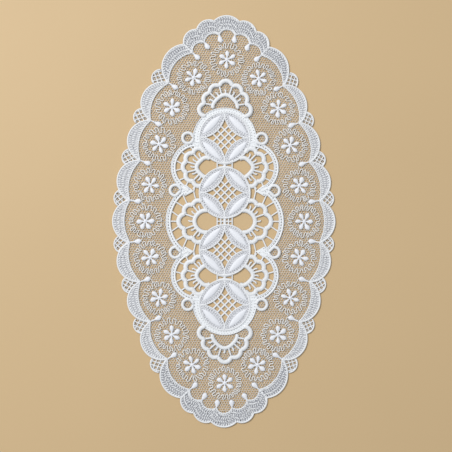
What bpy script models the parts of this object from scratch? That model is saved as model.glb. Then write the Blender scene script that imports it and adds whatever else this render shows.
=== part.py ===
"""Oval lace table mat: embroidered tulle with a guipure centre panel, laid flat.

Metres, +Z up, +Y along the cloth. The origin is the middle of the cloth, on the surface it
lies on. All tables and sizes below are in millimetres and describe one quarter of the cloth,
which is mirrored to the other three.
"""
import math

import bmesh
import bpy

MM = 0.001

# The four quarters of the cloth, as signs of x and y.
QUARTERS = ((1, 1), (1, -1), (-1, 1), (-1, -1))

# Heights of the layers above the table, and the gap between the two pieces of cloth.
NET_TOP = 1.0
WEDGE_TOP = 1.2
CRESCENT_TOP = 1.6
CLOTH_GAP = 0.3
# The discs that open the net have flat facets, so they stand a little farther off.
DISC_GAP = CLOTH_GAP + 0.06
OVERLAY_BOTTOM = NET_TOP + CLOTH_GAP
PANEL_TOP = 1.5
# The panel's flat parts lie a little below its top, each at its own height.
BELOW_TOP = {"leaf": 0.0, "end_ring": 0.04, "band": 0.08, "corner": 0.12}

# Cords of satin stitch: half the width, height of the top, share of the width that is flat on
# top. Each kind has its own height, so that no two kinds share a plane where they cross.
CORDS = {
    "ring": (0.80, 1.90, 0.4),
    "thread": (0.72, 1.14, 0.0),
    "bar": (0.66, 1.06, 0.0),
    "arch": (2.20, 1.96, 0.5),
    "scallop": (2.25, 1.88, 0.5),
    "leg": (1.20, 1.70, 0.0),
    "over_arch": (2.00, 2.66, 0.5),
    "over_scallop": (2.10, 2.74, 0.5),
    "over_leg": (1.25, 2.50, 0.0),
    "ear": (1.60, 2.70, 0.5),
}
# How much narrower the crown of a raised core is than its foot.
CORE_CROWN = 0.5
# Each solid starts a different way below the table, and is cut flat there once all are joined.
SUNK = {"leaf": 0.32, "end_ring": 0.26, "band": 0.22, "corner": 0.18, "net": 0.30,
        "crescent": 0.24, "end_border": 0.28, "wedge": 0.20}
# Faces that lie this flat to each other, in degrees, are one face in the joined piece.
FLAT_ANGLE = 0.4

# Four round medallions down the middle, each a ring with four leaves around a small lattice.
MEDALLION_Y = (27.9, 81.4)
RING_R = 25.35
RING_MIDDLE_R = RING_R - CORDS["ring"][0]
LATTICE_PITCH = 5.4
# How much farther a side thread of the lattice reaches than the middle one.
LATTICE_REACH = 1.2
LEAF_EDGE = 0.4
LEAF_CORE_LENGTH = 27.0
LEAF_CORE_WIDTH = 5.6
LEAF_CORE_TOP = 2.0

# The second ring round each end medallion, off centre, so that its band is narrow at the end.
END_RING_Y = 79.6
END_RING_R = 31.5
# The band thins out where the end fans start: angle below the middle line, radius.
END_RING_TAPER = ((9, 31.4), (14, 28.6), (20, 26.8), (26, 25.2))

# Fans at the sides. Each has a round band outside, an eye in the middle, an arch round the eye,
# loops on the arch and thin bars from the loops to the band.
FANS = {
    "end": {
        "band": (27.3, 52.3), "band_r": 25.4, "band_w": 5.0, "band_from": -70, "band_to": 96,
        "eye": (17.9, 52.5), "eye_r": 7.3, "arch_turn": 98,
        "hub": (21.7, 52.7),
        # angle, reach from the hub, hole radius
        "loops": ((-74, 13.6, 2.9), (-36, 13.6, 3.1), (0, 13.6, 3.2), (36, 13.6, 3.1),
                  (74, 13.6, 2.9)),
        "bars": (-80, -60, -36, -9, 18, 45, 72),
    },
    "middle": {
        "band": (18.7, 0.0), "band_r": 39.0, "band_w": 5.2, "band_from": -52, "band_to": 52,
        "eye": (18.9, 0.0), "eye_r": 8.4, "arch_turn": 104,
        "hub": (23.2, 0.0),
        "loops": ((-80, 15.1, 3.0), (-44, 14.6, 3.6), (0, 14.6, 4.9), (44, 14.6, 3.6),
                  (80, 15.1, 3.0)),
        "bars": (-50, -33, -16.5, 0, 16.5, 33, 50),
    },
}
LAST_LOOP_TURN = 92

# Ties between the medallions: places across, and the thin bar down the side of each corner.
MIDDLE_TIES = (0.0, 3.7, 7.3)
OUTER_TIES = (0.0, 7.3)
CORNER_BAR = ((28.3, 37.2), (30.2, 29.2), (28.3, 20.9))

# The stitched corner where an end fan's band meets the middle fan's band. Its outer side stays
# clear of the point that the net's edge makes there.
CORNER = ((30.4, 29.2), (37.2, 35.0), (42.5, 32.7), (38.6, 25.0))

# Small round ears on the outside of the panel, over the net.
EARS = ((35.9, 80.8), (48.1, 30.1))
EAR_HOLE_R = 3.5

# The fan at each end of the panel, over the net.
END_FAN_HUB = (0.0, 111.2)
END_FAN_EYE_R = 10.0
END_FAN_LOOPS = ((-8, 19.6, 3.6), (26, 17.4, 3.5), (58, 18.2, 3.5), (90, 19.6, 3.9),
                 (122, 18.2, 3.5), (154, 17.4, 3.5), (188, 19.6, 3.6))
# How much a fan's arch is drawn in between its crown and its feet, which makes it pointed.
ARCH_DENTS = {"end": 0.10, "middle": 0.03, "over": 0.08}

# Border of the net. Crescents run from cusp to cusp up the sides, from the middle of a side to
# the end of the cloth. The last one of each side runs on into the small scallops of the end.
CUSPS = ((92.4, 20.5), (82.2, 58.7), (72.2, 97.5), (55.6, 134.1), (33.6, 163.8))
CRESCENT_RISE = (15.6, 16.2, 16.2, 16.6)
CRESCENT_INNER_RISE = (5.3, 5.5, 6.3, 6.6)
END_NOTCHES = ((55.6, 134.1), (41.4, 171.6), (29.1, 186.2), (12.4, 194.7), (-12.4, 194.7))
END_RISE = (12.7, 4.9, 4.4, 5.3)
END_CUSPS = ((55.6, 134.1), (33.6, 163.8), (22.2, 173.8), (7.6, 181.4), (-7.6, 181.4))
END_INNER_RISE = (7.2, 4.4, 4.9, 5.8)

# The net runs on under the border, to about the middle of each crescent.
NET_RISE = (10.5, 11.0, 11.5, 12.0, 10.5)
NET_END = ((37.5, 167.5), (25.5, 179.8), (10.0, 188.0))

WEDGES = (
    # x, y, way the wedge faces
    (98.4, 22.2, 4), (90.6, 61.4, 14), (79.4, 100.6, 20), (63.0, 138.6, 27),
)
WEDGE_R = 8.4
WEDGE_SPREAD = 62
# How far a wedge reaches in past its cusp, and a crescent past both of its cusps.
WEDGE_ROOT = 1.2
TIP_OVERLAP = 0.7

# Flowers and the drop-shaped buds that hang from the cusps.
FLOWERS = (
    # x, y, turn
    (0.0, 157.5, 30), (31.7, 139.7, 41), (51.7, 110.5, 29), (63.8, 74.6, 15),
    (72.6, 35.1, 8), (77.3, 0.0, 0),
)
FLOWER_R = 8.5
PETAL_WIDTH = 3.4
PETAL_TOP = 1.7
BUDS = (
    # x, y, direction it points in
    (85.5, 19.5, 184), (76.1, 56.6, 200), (65.6, 94.6, 205), (50.3, 130.7, 212),
    (29.7, 160.2, 224), (20.0, 171.0, 240), (7.1, 177.9, 262),
)
BUD_LENGTH = 7.0
BUD_WIDTH = 3.6

# How the cloth lies. Its far end leans to the right, all inside the rim is shifted a little to
# the right, and the right side of the far end is drawn in and down. SPREAD is where the rim
# begins, as a share of the oval's half sizes.
END_LEAN = 3.0
SIDE_DROP = 0.014
INNER_SHIFT = 0.9
RIGHT_END_SHIFT = 0.8
RIGHT_END_DROP = 1.6
HALF_SIZES = (108.4, 200.4)
RIM_SPREAD = (0.84, 0.12)
DROP_SPREAD = (0.76, 0.10)


def smooth(t):
    """0 below 0, 1 above 1 and an even rise between."""
    t = min(1.0, max(0.0, t))
    return t * t * (3 - 2 * t)


def lie(x, y):
    """Where a point of the even pattern lies on the table."""
    spread = math.hypot(x / HALF_SIZES[0], y / HALF_SIZES[1])
    rim = smooth((spread - RIM_SPREAD[0]) / RIM_SPREAD[1])
    drop = smooth((spread - DROP_SPREAD[0]) / DROP_SPREAD[1])
    right_end = smooth(x / 40) * smooth((y - 20) / 100)
    across = (END_LEAN * smooth((y - 90) / 105) + INNER_SHIFT * (1 - rim)
              - RIGHT_END_SHIFT * right_end * rim)
    down = SIDE_DROP * x * smooth((y + 40) / 200) + RIGHT_END_DROP * right_end * drop
    return (x + across, y - down)


def polar(centre, radius, angle):
    turn = math.radians(angle)
    return (centre[0] + radius * math.cos(turn), centre[1] + radius * math.sin(turn))


def arc(centre, radius, start, end, steps):
    return [polar(centre, radius, start + (end - start) * i / steps) for i in range(steps + 1)]


def circle(centre, radius, steps):
    return arc(centre, radius, 0, 360, steps)[:-1]


def bow(p, q, rise, steps):
    """Points on the round arc from p to q that stands rise to the right of the way there."""
    dx, dy = q[0] - p[0], q[1] - p[1]
    half = math.hypot(dx, dy) / 2
    radius = (half * half + rise * rise) / (2 * rise)
    back = (rise - radius) / (2 * half)
    centre = ((p[0] + q[0]) / 2 + dy * back, (p[1] + q[1]) / 2 - dx * back)
    first = angle_of(centre, p)
    sweep = (angle_of(centre, q) - first) % 360
    return arc(centre, radius, first, first + sweep, steps)


def meet(c1, r1, c2, r2, away):
    """The crossing of two circles that lies farther from the point away."""
    dx, dy = c2[0] - c1[0], c2[1] - c1[1]
    gap = math.hypot(dx, dy)
    along = (gap * gap + r1 * r1 - r2 * r2) / (2 * gap)
    side = math.sqrt(max(0.0, r1 * r1 - along * along))
    foot = (c1[0] + dx * along / gap, c1[1] + dy * along / gap)
    both = [(foot[0] - s * dy * side / gap, foot[1] + s * dx * side / gap) for s in (1, -1)]
    return max(both, key=lambda p: math.hypot(p[0] - away[0], p[1] - away[1]))


def angle_of(centre, point):
    return math.degrees(math.atan2(point[1] - centre[1], point[0] - centre[0]))


def mirrored(points, sx, sy):
    return [(x * sx, y * sy) for x, y in points]


def new_collection(name):
    collection = bpy.data.collections.new(name)
    bpy.context.scene.collection.children.link(collection)
    return collection


def material(name, colour, roughness):
    made = bpy.data.materials.new(name)
    made.use_nodes = True
    shader = made.node_tree.nodes["Principled BSDF"]
    shader.inputs["Base Color"].default_value = (*colour, 1.0)
    shader.inputs["Roughness"].default_value = roughness
    shader.inputs["Metallic"].default_value = 0.0
    return made


def solid_from_curve(curve, collection):
    """Makes the curve a closed mesh object in the collection, with its caps welded."""
    source = bpy.data.objects.new(curve.name, curve)
    bpy.context.scene.collection.objects.link(source)
    bpy.context.view_layer.update()
    evaluated = source.evaluated_get(bpy.context.evaluated_depsgraph_get())
    mesh = bpy.data.meshes.new_from_object(evaluated)
    body = bmesh.new()
    body.from_mesh(mesh)
    bmesh.ops.remove_doubles(body, verts=body.verts, dist=1e-6)
    bmesh.ops.recalc_face_normals(body, faces=body.faces)
    body.to_mesh(mesh)
    body.free()
    made = bpy.data.objects.new(curve.name, mesh)
    made.matrix_world = source.matrix_world
    collection.objects.link(made)
    bpy.data.objects.remove(source)
    bpy.data.curves.remove(curve)
    return made


def cord_profile(kind, floor):
    """The cross-section of a cord: flat underneath, with a narrower crown."""
    half, top, flat = CORDS[kind]
    bottom = floor - 0.1 * top
    curve = bpy.data.curves.new(kind + "_profile", "CURVE")
    curve.dimensions = "2D"
    spline = curve.splines.new("POLY")
    crown = ((-half * flat, top), (half * flat, top)) if flat else ((0, top),)
    corners = ((-half, bottom), *crown, (half, bottom))
    spline.points.add(len(corners) - 1)
    for place, (across, height) in zip(spline.points, corners):
        place.co = (across * MM, height * MM, 0, 1)
    spline.use_cyclic_u = True
    return bpy.data.objects.new(curve.name, curve)


def strand(kind, points, collection, closed=False):
    """A cord of one kind along flat points; an overlay cord lies above the net."""
    over = kind.startswith("over_") or kind == "ear"
    profile = cord_profile(kind, OVERLAY_BOTTOM if over else 0.0)
    curve = bpy.data.curves.new(kind, "CURVE")
    curve.dimensions = "3D"
    curve.twist_mode = "Z_UP"
    curve.bevel_mode = "OBJECT"
    curve.bevel_object = profile
    curve.use_fill_caps = True
    spline = curve.splines.new("POLY")
    spline.points.add(len(points) - 1)
    for place, (x, y) in zip(spline.points, points):
        place.co = (x * MM, y * MM, 0, 1)
    spline.use_cyclic_u = closed
    made = solid_from_curve(curve, collection)
    section = profile.data
    bpy.data.objects.remove(profile)
    bpy.data.curves.remove(section)
    return made


def plate(name, outline, top, collection):
    """A flat plate from below the table up to its top."""
    curve = bpy.data.curves.new(name, "CURVE")
    curve.dimensions = "2D"
    curve.fill_mode = "BOTH"
    curve.extrude = (top + SUNK[name]) / 2 * MM
    spline = curve.splines.new("POLY")
    spline.points.add(len(outline) - 1)
    for place, (x, y) in zip(spline.points, outline):
        place.co = (x * MM, y * MM, 0, 1)
    spline.use_cyclic_u = True
    made = solid_from_curve(curve, collection)
    for vertex in made.data.vertices:
        vertex.co.z += (top - SUNK[name]) / 2 * MM
    return made


def lens(points, crown, bottom, top, collection):
    """A raised satin shape: a flat outline at the bottom that rises to a smaller crown."""
    body = bmesh.new()
    low = [body.verts.new((x * MM, y * MM, bottom * MM)) for x, y in points]
    high = [body.verts.new((x * MM, y * MM, top * MM)) for x, y in crown]
    body.faces.new(low)
    body.faces.new(high)
    for i in range(len(points)):
        j = (i + 1) % len(points)
        body.faces.new((low[i], low[j], high[j], high[i]))
    bmesh.ops.recalc_face_normals(body, faces=body.faces)
    mesh = bpy.data.meshes.new("satin")
    body.to_mesh(mesh)
    body.free()
    made = bpy.data.objects.new("satin", mesh)
    collection.objects.link(made)
    return made


def boolean(target, operation, operand):
    """Adds a Boolean with one object or a whole collection.

    The exact solver leaves open edges where this many cords cross, so this is the manifold one.
    """
    made = target.modifiers.new(operation.lower(), "BOOLEAN")
    made.operation = operation
    made.solver = "MANIFOLD"
    if isinstance(operand, bpy.types.Collection):
        made.operand_type = "COLLECTION"
        made.collection = operand
    else:
        made.object = operand


def join(name, parts, cutters_used):
    """One closed mesh of every solid in the collection, less the cutters."""
    base = parts.objects[0]
    parts.objects.unlink(base)
    bpy.context.scene.collection.objects.link(base)
    boolean(base, "UNION", parts)
    for cutter in cutters_used:
        boolean(base, "DIFFERENCE", cutter)
    bpy.context.view_layer.update()
    evaluated = base.evaluated_get(bpy.context.evaluated_depsgraph_get())
    mesh = bpy.data.meshes.new_from_object(evaluated)
    bpy.data.objects.remove(base)
    for member in list(parts.objects):
        bpy.data.objects.remove(member)
    return bpy.data.objects.new(name, mesh)


def keep_main_body(mesh):
    """Drops the specks that a union leaves, and keeps the one large body."""
    body = bmesh.new()
    body.from_mesh(mesh)
    unseen = set(body.verts)
    groups = []
    while unseen:
        start = unseen.pop()
        group = {start}
        reach = [start]
        while reach:
            for edge in reach.pop().link_edges:
                for vertex in edge.verts:
                    if vertex in unseen:
                        unseen.remove(vertex)
                        group.add(vertex)
                        reach.append(vertex)
        groups.append(group)
    main = max(groups, key=len)
    specks = [vertex for group in groups if group is not main for vertex in group]
    bmesh.ops.delete(body, geom=specks, context="VERTS")
    bmesh.ops.dissolve_limit(body, angle_limit=math.radians(FLAT_ANGLE), verts=body.verts,
                             edges=body.edges)
    body.to_mesh(mesh)
    body.free()


def as_cutter(made):
    """Keeps an object as a guide that only cuts."""
    bpy.context.view_layer.update()
    made.data.transform(made.matrix_world)
    made.matrix_world.identity()
    made.hide_render = True
    made.display_type = "WIRE"
    for owner in list(made.users_collection):
        owner.objects.unlink(made)
    bpy.data.collections["cutters"].objects.link(made)
    return made


def slab(name, bottom, top):
    """A wide flat box that cuts away everything between two heights."""
    bpy.ops.mesh.primitive_cube_add(size=1, location=(0, 0, (bottom + top) / 2 * MM))
    made = bpy.context.object
    made.name = name
    made.scale = (300 * MM, 500 * MM, (top - bottom) * MM)
    return as_cutter(made)


def finish_piece(made, finish):
    """Puts a joined piece in the cloth's collection, lying as the cloth lies."""
    keep_main_body(made.data)
    for vertex in made.data.vertices:
        x, y = lie(vertex.co.x / MM, vertex.co.y / MM)
        vertex.co.x, vertex.co.y = x * MM, y * MM
    made.data.materials.clear()
    made.data.materials.append(finish)
    bpy.data.collections["lace_tablecloth"].objects.link(made)


def shrunk(points, centre, share):
    return [(centre[0] + (x - centre[0]) * share, centre[1] + (y - centre[1]) * share)
            for x, y in points]


def leaf(y, cx, cy, parts):
    """A leaf between the ring and an arc that mirrors it, with its raised satin core."""
    far = (cx * RING_R, y + cy * RING_R)
    first = {(1, 1): 0, (-1, 1): 90, (-1, -1): 180, (1, -1): 270}[(cx, cy)]
    outline = (arc((0, y), RING_MIDDLE_R, first - 1, first + 91, 7)
               + arc(far, RING_R + LEAF_EDGE, first + 183, first + 267, 8))
    plate("leaf", outline, PANEL_TOP - BELOW_TOP["leaf"], parts)
    middle = (cx * RING_R / 2, y + cy * RING_R / 2)
    tips = [polar(middle, LEAF_CORE_LENGTH / 2, first + turn) for turn in (135, -45)]
    core = (bow(tips[0], tips[1], LEAF_CORE_WIDTH / 2, 4)[:-1]
            + bow(tips[1], tips[0], LEAF_CORE_WIDTH / 2, 4)[:-1])
    lens(core, shrunk(core, middle, CORE_CROWN), PANEL_TOP - 0.3, LEAF_CORE_TOP, parts)


def medallion(y, parts):
    strand("ring", circle((0, y), RING_MIDDLE_R, 24), parts, closed=True)
    for cx, cy in QUARTERS:
        leaf(y, cx, cy, parts)
    for turn in (45, 135):
        for step in (-1, 0, 1):
            foot = polar((0, y), step * LATTICE_PITCH, turn + 90)
            half = RING_R * (math.sqrt(2) - 1) + abs(step) * LATTICE_REACH
            strand("thread", [polar(foot, -half, turn), polar(foot, half, turn)], parts)


def end_ring(sy, parts):
    centre = (0, END_RING_Y)
    start = END_RING_TAPER[0][0]
    taper = [polar(centre, radius, -angle) for angle, radius in END_RING_TAPER]
    outer = arc(centre, END_RING_R, -start, 180 + start, 28)
    left = mirrored(taper, -1, 1)
    inner = arc((0, MEDALLION_Y[1]), RING_R - 1.2, 180 + 28, -28, 20)
    outline = outer + left[1:] + inner + taper[:0:-1]
    plate("end_ring", mirrored(outline, 1, sy), PANEL_TOP - BELOW_TOP["end_ring"], parts)


def ties(parts):
    """Short bars that hold the medallions to each other."""
    low, high = MEDALLION_Y
    for y, half, signs, places in (((low + high) / 2, (high - low) / 2, (1, -1), OUTER_TIES),
                                   (0, low, (1,), MIDDLE_TIES)):
        for x in places:
            reach = half - math.sqrt(RING_MIDDLE_R ** 2 - x * x)
            for cx in (1, -1) if x else (1,):
                for sy in signs:
                    strand("bar", mirrored([(x, y - reach), (x, y + reach)], cx, sy), parts)
    strand("thread", [(-MIDDLE_TIES[-1], 0), (MIDDLE_TIES[-1], 0)], parts)


def pointed_arch(kind, centre, radius, start, end, steps):
    """A fan's arch, drawn in between its crown and its feet."""
    points = []
    for i in range(steps + 1):
        angle = start + (end - start) * i / steps
        dent = ARCH_DENTS[kind] * math.sin(math.radians(2 * angle)) ** 2
        points.append(polar(centre, radius * (1 - dent), angle))
    return points


def fan(kind, sx, sy, parts):
    shape = FANS[kind]

    def put(points):
        return mirrored(points, sx, sy)

    band = shape["band"]
    outer, inner = shape["band_r"], shape["band_r"] - shape["band_w"]
    first, last = shape["band_from"], shape["band_to"]
    outline = arc(band, outer, first, last, 14) + arc(band, inner, last, first, 12)
    plate("band", put(outline), PANEL_TOP - BELOW_TOP["band"], parts)
    arch_r = shape["eye_r"] + CORDS["arch"][0]
    turn = shape["arch_turn"]
    strand("arch", put(pointed_arch(kind, shape["eye"], arch_r, -turn, turn, 10)), parts)
    loops(shape["hub"], shape["loops"], put, shape["eye"], arch_r, "", parts)
    for angle in shape["bars"]:
        outside = polar(band, inner + 1.0, angle)
        strand("bar", put([outside, bar_foot(shape, outside)]), parts)


def bar_foot(shape, outside):
    """Where a bar from the band meets the scalloped cord of the nearest loop."""
    near = []
    for turn, reach, hole in shape["loops"]:
        centre = polar(shape["hub"], reach, turn)
        rim = hole + CORDS["scallop"][0]
        gap = math.hypot(outside[0] - centre[0], outside[1] - centre[1])
        near.append((gap - rim, centre, rim))
    _gap, centre, rim = min(near)
    return polar(centre, rim, angle_of(centre, outside))


def loops(hub, rows, put, arch_centre, arch_r, prefix, parts):
    """A scalloped cord round a row of loop holes, with a leg between neighbours."""
    cord = CORDS[prefix + "scallop"][0]
    centres = [polar(hub, reach, angle) for angle, reach, _hole in rows]
    radii = [hole + cord for _angle, _reach, hole in rows]
    crossings = [meet(centres[i], radii[i], centres[i + 1], radii[i + 1], hub)
                 for i in range(len(rows) - 1)]
    for i, (angle, _reach, _hole) in enumerate(rows):
        start = angle_of(centres[i], crossings[i - 1]) if i else angle - LAST_LOOP_TURN
        end = angle_of(centres[i], crossings[i]) if i < len(rows) - 1 else angle + LAST_LOOP_TURN
        while end < start:
            end += 360
        strand(prefix + "scallop", put(arc(centres[i], radii[i], start, end, 5)), parts)
    for crossing in crossings:
        inward = angle_of(arch_centre, crossing)
        strand(prefix + "leg", put([crossing, polar(arch_centre, arch_r, inward)]), parts)


def end_fan(sy, parts):
    def put(points):
        return mirrored(points, 1, sy)

    arch_r = END_FAN_EYE_R + CORDS["over_arch"][0]
    strand("over_arch", put(pointed_arch("over", END_FAN_HUB, arch_r, -8, 188, 12)), parts)
    loops(END_FAN_HUB, END_FAN_LOOPS, put, END_FAN_HUB, arch_r, "over_", parts)


def petals(x, y, turn, parts):
    """A flower of six drop petals in raised satin."""
    # share of the petal's length, share of its half width
    rim = ((0.62, 1.0), (0.97, 0.62), (0.97, -0.62), (0.62, -1.0))
    outline, crown = [], []
    for petal in range(6):
        angle = turn + petal * 60
        for along, across in rim:
            for points, widen, lift in ((outline, 1.0, 0.0), (crown, 0.45, -0.08)):
                spot = polar((x, y), FLOWER_R * (along + lift * (along > 0.7)), angle)
                points.append(polar(spot, -across * widen * PETAL_WIDTH / 2, angle + 90))
        for points, radius in ((outline, 2.0), (crown, 1.1)):
            points.append(polar((x, y), radius, angle + 30))
    lens(outline, crown, NET_TOP - 0.3, PETAL_TOP, parts)


def bud(x, y, direction, parts):
    """A satin drop that points away from its cusp."""
    # share of the length from the stem, share of the half width
    shape = ((0.0, 0.22), (0.68, 1.0), (1.0, 0.5), (1.0, -0.5), (0.68, -1.0), (0.0, -0.22))
    foot = polar((x, y), -BUD_LENGTH / 2, direction)
    outline = []
    for along, across in shape:
        spot = polar(foot, BUD_LENGTH * along, direction)
        outline.append(polar(spot, -across * BUD_WIDTH / 2, direction + 90))
    lens(outline, shrunk(outline, polar(foot, BUD_LENGTH * 0.7, direction), CORE_CROWN),
         NET_TOP - 0.34, PETAL_TOP + 0.05, parts)


def net_outline():
    """The net's own edge, carried round all four quarters."""
    low_cusp = (CUSPS[0][0], -CUSPS[0][1])
    quarter = bow(low_cusp, CUSPS[0], NET_RISE[0], 6)[3:]
    for i in range(len(CUSPS) - 1):
        quarter += bow(CUSPS[i], CUSPS[i + 1], NET_RISE[i + 1], 5)[1:]
    quarter += NET_END
    top = quarter + mirrored(quarter[::-1], -1, 1)
    return top + mirrored(quarter[1:], -1, -1) + mirrored(quarter[:0:-1], 1, -1)


def crescent(p, q, rise, inner_rise, sx, sy, parts):
    """A crescent from cusp to cusp, a little longer at both tips to overlap its neighbours."""
    share = TIP_OVERLAP / math.hypot(q[0] - p[0], q[1] - p[1])
    over = ((q[0] - p[0]) * share, (q[1] - p[1]) * share)
    p, q = (p[0] - over[0], p[1] - over[1]), (q[0] + over[0], q[1] + over[1])
    outer = bow(p, q, rise, 9)
    inner = bow(p, q, inner_rise, 6)
    plate("crescent", mirrored(outer + inner[-2:0:-1], sx, sy), CRESCENT_TOP, parts)


def border(parts):
    """Crescents and lattice wedges up the sides, and the scalloped piece round each end."""
    for sx in (1, -1):
        low_cusp = (CUSPS[0][0], -CUSPS[0][1])
        crescent(low_cusp, CUSPS[0], CRESCENT_RISE[0], CRESCENT_INNER_RISE[0], sx, 1, parts)
    for sx, sy in QUARTERS:
        for i in range(1, len(CRESCENT_RISE)):
            crescent(CUSPS[i - 1], CUSPS[i], CRESCENT_RISE[i], CRESCENT_INNER_RISE[i], sx, sy, parts)
        for cusp, (x, y, faces) in zip(CUSPS, WEDGES):
            rim = arc((x, y), WEDGE_R, faces - WEDGE_SPREAD, faces + WEDGE_SPREAD, 5)
            apex = polar(cusp, -WEDGE_ROOT, faces)
            plate("wedge", mirrored(rim + [apex], sx, sy), WEDGE_TOP, parts)
    for sy in (1, -1):
        outer, inner = [], []
        for i, (rise, inner_rise) in enumerate(zip(END_RISE, END_INNER_RISE)):
            steps = 9 if i == 0 else 5
            outer += bow(END_NOTCHES[i], END_NOTCHES[i + 1], rise, steps)[:-1]
            inner += bow(END_CUSPS[i], END_CUSPS[i + 1], inner_rise, steps)[:-1]
        outer += mirrored([p for p in outer if p[0] > END_NOTCHES[3][0] - 0.01][::-1], -1, 1)
        inner += mirrored([p for p in inner if p[0] > END_CUSPS[3][0] - 0.01][::-1], -1, 1)
        plate("end_border", mirrored(outer + inner[-2:0:-1], 1, sy), CRESCENT_TOP, parts)


def panel_cutters():
    """Cylinders a little wider than the panel's round bands, which open the net under it."""
    discs = [(0, END_RING_Y * sy, END_RING_R) for sy in (1, -1)]
    made = []
    for kind, quarters in (("end", QUARTERS), ("middle", ((1, 1), (-1, 1)))):
        for sx, sy in quarters:
            x, y = FANS[kind]["band"]
            discs.append((x * sx, y * sy, FANS[kind]["band_r"]))
    for x, y, radius in discs:
        bpy.ops.mesh.primitive_cylinder_add(vertices=48, radius=(radius + DISC_GAP) * MM,
                                            depth=20 * MM, location=(x * MM, y * MM, 0))
        disc = bpy.context.object
        disc.name = "panel_disc"
        made.append(as_cutter(disc))
    return made


for old in list(bpy.data.objects):
    bpy.data.objects.remove(old)

cloth = new_collection("lace_tablecloth")
cutters = new_collection("cutters")
lace_white = material("cotton_lace", (0.90, 0.90, 0.93), 0.85)
net_white = material("tulle_net", (0.78, 0.76, 0.74), 0.9)
under_cloth = slab("under_the_cloth", -10, 0)
under_overlay = slab("under_the_overlay", -10, OVERLAY_BOTTOM)

overlay = new_collection("overlay_parts")
for sy in (1, -1):
    end_fan(sy, overlay)
for sx, sy in QUARTERS:
    for ear in EARS:
        rim = circle(ear, EAR_HOLE_R + CORDS["ear"][0], 11)
        strand("ear", mirrored(rim, sx, sy), overlay, closed=True)

panel = new_collection("panel_parts")
for sy in (1, -1):
    for centre_y in MEDALLION_Y:
        medallion(centre_y * sy, panel)
    end_ring(sy, panel)
ties(panel)
for sx, sy in QUARTERS:
    fan("end", sx, sy, panel)
    plate("corner", mirrored(CORNER, sx, sy), PANEL_TOP - BELOW_TOP["corner"], panel)
    strand("bar", mirrored(CORNER_BAR, sx, sy), panel)
for sx in (1, -1):
    fan("middle", sx, 1, panel)
panel.objects.link(join("overlay", overlay, [under_overlay]))
finish_piece(join("guipure_centre", panel, [under_cloth]), lace_white)

ground = new_collection("ground_parts")
plate("net", net_outline(), NET_TOP, ground)
border(ground)
for x, y, turn in FLOWERS:
    for sx in (1, -1) if x else (1,):
        for sy in (1, -1) if y else (1,):
            petals(x * sx, y * sy, turn * sx * sy, ground)
for x, y, direction in BUDS:
    for sx, sy in QUARTERS:
        turned = angle_of((0, 0), mirrored([polar((0, 0), 1, direction)], sx, sy)[0])
        bud(x * sx, y * sy, turned, ground)
finish_piece(join("tulle_ground", ground, [under_cloth] + panel_cutters()), net_white)
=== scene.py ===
"""An oval lace mat laid flat: embroidered tulle round an openwork guipure centre.

The pattern is worked out in millimetres for one quarter of the cloth and mirrored to the other
three; every stitch is then moved to where the cloth really lies.
"""

import math

import bpy
import numpy as np
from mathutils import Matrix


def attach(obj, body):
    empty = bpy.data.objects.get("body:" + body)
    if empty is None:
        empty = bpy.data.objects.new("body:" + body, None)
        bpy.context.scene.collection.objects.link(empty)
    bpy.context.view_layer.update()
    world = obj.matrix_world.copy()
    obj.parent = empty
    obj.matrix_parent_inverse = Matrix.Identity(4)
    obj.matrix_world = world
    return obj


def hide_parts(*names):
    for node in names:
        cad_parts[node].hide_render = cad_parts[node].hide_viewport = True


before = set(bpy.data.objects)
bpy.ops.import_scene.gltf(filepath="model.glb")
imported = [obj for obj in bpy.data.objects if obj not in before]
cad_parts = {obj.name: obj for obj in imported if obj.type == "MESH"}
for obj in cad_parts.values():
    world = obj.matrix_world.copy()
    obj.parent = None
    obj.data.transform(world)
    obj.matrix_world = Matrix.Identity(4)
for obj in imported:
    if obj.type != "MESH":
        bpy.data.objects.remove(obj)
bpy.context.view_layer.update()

# The view. The cloth is seen from straight above, with its far end at the top of the picture,
# and lies a little to the left of the picture's middle.
VIEW_HEIGHT = 0.80
VIEW_CENTRE = (0.0021, -0.0045)
VIEW_WIDTH = 0.4407
SENSOR_MM = 36.0

eye = bpy.data.cameras.new("photo_view")
eye.sensor_width = SENSOR_MM
eye.lens = SENSOR_MM * VIEW_HEIGHT / VIEW_WIDTH
view = bpy.data.objects.new("photo_view", eye)
view.location = (*VIEW_CENTRE, VIEW_HEIGHT)
bpy.context.scene.collection.objects.link(view)
bpy.context.scene.camera = view
bpy.context.scene.view_settings.view_transform = "Standard"

# The table and the light. A plain pale table top, a large soft window light from the upper left
# that draws short shadows to the lower right, and an even fill from all round.
TABLE_SIZE = 6.0
TABLE_DROP = 0.0003
TABLE_COLOUR = (0.60, 0.43, 0.235)
TABLE_ROUGHNESS = 0.62
MOTTLE_SCALE = 5.0
MOTTLE_SHARE = 0.03
WINDOW_PLACE = (-1.05, 0.95, 2.0)
WINDOW_SIZE = 0.75
WINDOW_POWER = 45.0
WINDOW_COLOUR = (1.0, 0.985, 0.955)
FILL_COLOUR = (0.90, 0.95, 1.0)
FILL_STRENGTH = 0.46


def fill_in(node, values):
    """Set a node's inputs by name."""
    for name, value in values.items():
        node.inputs[name].default_value = value


def join_up(links, *pairs):
    """Link nodes: each pair is a node with its output's name and a node with its input's."""
    for start, out, end, into in pairs:
        links.new(start.outputs[out], end.inputs[into])


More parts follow.
